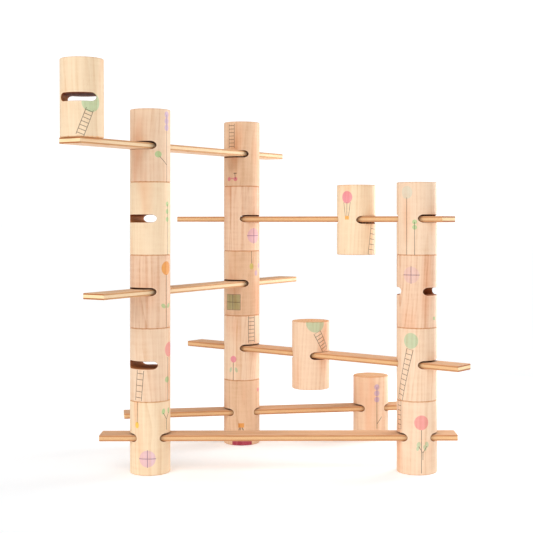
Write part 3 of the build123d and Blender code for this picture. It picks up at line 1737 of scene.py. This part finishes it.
def loose_logs() -> LogGroup:
    """The logs that stand on a slat, hang from one, or stand on the floor by themselves.

    Returns:
        The logs.
    """
    return LogGroup(
        "loose logs",
        {
            "perched_log": Log(
                85.0,
                LogWood(
                    15.0, Tone.HONEY, (-14, 30), (0.07, 0.04),
                    ring_gap=4.2, ring_strength=0.24, slot_open=True,
                ),
                [
                    Oval(-55, 31, 9.0, 8.8, Ink.PALE_GREEN),
                    Ladder(-86, 1.0, -59, 25.0, width=7.2, rungs=7),
                    *flower(85, 58, 5.2, 44, Ink.PINK),
                ],
                on_top_slat=True,
            ),
            "high_hanging_log": Log(
                Run.RIGHT,
                LogWood(16.0, Tone.HONEY, (26, 12), (0.03, 0.05), ring_strength=0.25),
                [
                    *hot_air_balloon(-123, 59.2),
                    Ladder(-45, 0, -32, 32, width=8.5, rungs=6),
                    *tree(90, 56, 7, 10),
                ],
            ),
            "low_hanging_log": Log(
                Run.RIGHT,
                LogWood(17.0, Tone.PALE, (-26, -16), (0.05, 0.03)),
                [
                    Oval(-77, 71, 10.2, 10.0, Ink.PALE_GREEN),
                    Ladder(-42, 41.5, -72, 61, width=8.0, rungs=6),
                    Window(95, 17, 7.5, 7.5, Ink.LILAC),
                ],
            ),
            "floor_log": Log(
                Run.REAR,
                LogWood(18.0, Tone.PALE, (18, 28), (0.02, 0.03)),
                [
                    *fruit_stem(-74.5, [60.7, 53.7, 46.6], 13.7, Ink.PURPLE, 3.2),
                    Line(-74.5, 18.8, -57, 26.7),
                    *flower(100, 56, 5.5, 8, Ink.CORAL),
                ],
            ),
        },
    )


# ---------------------------------------------------------------- studio


@dataclass(frozen=True)
class Studio:
    """The floor, the light and the camera. The floor, the panel's size and the sight are in metres."""

    floor_reach: float = 60.0
    key_heading: float = -118.0
    key_rise: float = 40.0
    key_spread: float = 50.0
    key_strength: float = 1.3
    room_dark: float = 0.14
    room_bright: float = 0.7
    dark_facing: float = -0.7
    bright_facing: float = 0.9
    room_tint: Rgba = (1.0, 0.995, 0.985, 1.0)
    backdrop_tint: Rgba = (1.0, 1.0, 1.0, 1.0)
    backdrop_strength: float = 1.1
    side_strength: float = 6.0
    side_place: tuple[float, float, float] = (440.0, 420.0, 60.0)
    side_width: float = 0.45
    side_height: float = 0.8
    eye_right: float = 124.5
    eye_forward: float = -1086.3
    eye_height: float = 251.1
    eye_turn: float = -0.5
    lens: float = 73.53
    sensor: float = 36.0
    shift_right: float = -0.034
    shift_up: float = -0.0883
    sight: float = 500.0

    def floor(self) -> None:
        """Lays a wide white floor."""
        work = bmesh.new()
        bmesh.ops.create_grid(work, x_segments=4, y_segments=4, size=self.floor_reach)
        mesh = bpy.data.meshes.new("floor")
        work.to_mesh(mesh)
        work.free()
        mesh.materials.append(FloorPaint().material())
        floor = put_in("studio_floor", mesh)

    def key(self) -> Vector:
        """Hangs a wide soft light in front, to the left.

        Returns:
            The way to the light.
        """
        lamp = bpy.data.lights.new("key", "SUN")
        lamp.energy = self.key_strength
        lamp.angle = math.radians(self.key_spread)
        heading = math.radians(self.key_heading)
        rise = math.radians(self.key_rise)
        level = math.cos(rise)
        towards = Vector((math.cos(heading) * level, math.sin(heading) * level, math.sin(rise)))
        put_in("key", lamp).rotation_euler = towards.to_track_quat("Z", "Y").to_euler()
        return towards

    def side(self) -> None:
        """Stands a tall panel of light behind, to the right."""
        panel = bpy.data.lights.new("side", "AREA")
        panel.energy = self.side_strength
        panel.shape = "RECTANGLE"
        panel.size = self.side_width
        panel.size_y = self.side_height
        side = put_in("side", panel)
        target = middle_of("right_tower_log_3")
        side.location = target + Vector(self.side_place) * MM
        side.rotation_euler = (side.location - target).to_track_quat("Z", "Y").to_euler()

    def room(self, towards: Vector) -> bpy.types.World:
        """Makes the white room, brighter on the light's side.

        Args:
            towards: The way to the light.

        Returns:
            The room.
        """
        room = bpy.data.worlds.new("white_room")
        room.use_nodes = True
        nodes = NodeSet(room.node_tree)
        way = nodes.node("ShaderNodeTexCoord").outputs["Generated"]
        facing = nodes.node("ShaderNodeVectorMath", {"operation": "DOT_PRODUCT"}, {0: way, 1: towards})
        glow = nodes.node(
            "ShaderNodeMapRange",
            inputs={
                "Value": facing.outputs["Value"],
                "From Min": self.dark_facing,
                "From Max": self.bright_facing,
                "To Min": self.room_dark,
                "To Max": self.room_bright,
            },
        )
        lit = nodes.tree.nodes["Background"]
        nodes.feed(lit, {"Color": self.room_tint, "Strength": glow.outputs[0]})
        backdrop = nodes.node(
            "ShaderNodeBackground",
            inputs={"Color": self.backdrop_tint, "Strength": self.backdrop_strength},
        )
        seen = nodes.node("ShaderNodeLightPath").outputs["Is Camera Ray"]
        either = nodes.node(
            "ShaderNodeMixShader", inputs={0: seen, 1: lit.outputs[0], 2: backdrop.outputs[0]}
        )
        nodes.feed(nodes.tree.nodes["World Output"], {"Surface": either.outputs[0]})
        return room

    def camera(self) -> None:
        """Stands the camera in front, level, a little above the middle of the set."""
        data = bpy.data.cameras.new("camera")
        data.lens = self.lens
        data.sensor_width = self.sensor
        data.shift_x = self.shift_right
        data.shift_y = self.shift_up
        data.clip_end = self.sight
        camera = put_in("camera", data)
        left = middle_of("left_tower_log_1")
        camera.location = (left.x + self.eye_right * MM, left.y + self.eye_forward * MM, self.eye_height * MM)
        camera.rotation_euler = (math.pi / 2, 0.0, math.radians(self.eye_turn))
        bpy.context.scene.camera = camera

    def build(self) -> None:
        """Makes the floor, the light and the camera."""
        self.floor()
        scene = bpy.context.scene
        scene.world = self.room(self.key())
        scene.view_settings.view_transform = "Standard"
        self.side()
        self.camera()
        report.info("studio: floor, light and camera")


def main() -> None:
    """Makes the set's pieces in order, then the studio."""
    logging.basicConfig(level=logging.INFO, format="%(message)s")
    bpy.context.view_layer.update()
    size = size_of("left_tower_log_1")
    shape = LogShape(size.x / 2, size.z)
    pattern = Pattern(shape.mesh(), "turned", "log_wood")
    for group in (left_tower(), rear_tower(), right_tower(), loose_logs()):
        group.build(shape, pattern)
    bpy.data.meshes.remove(pattern.mesh)
    Slats().build()
    Studio().build()


if __name__ == "__main__":
    main()
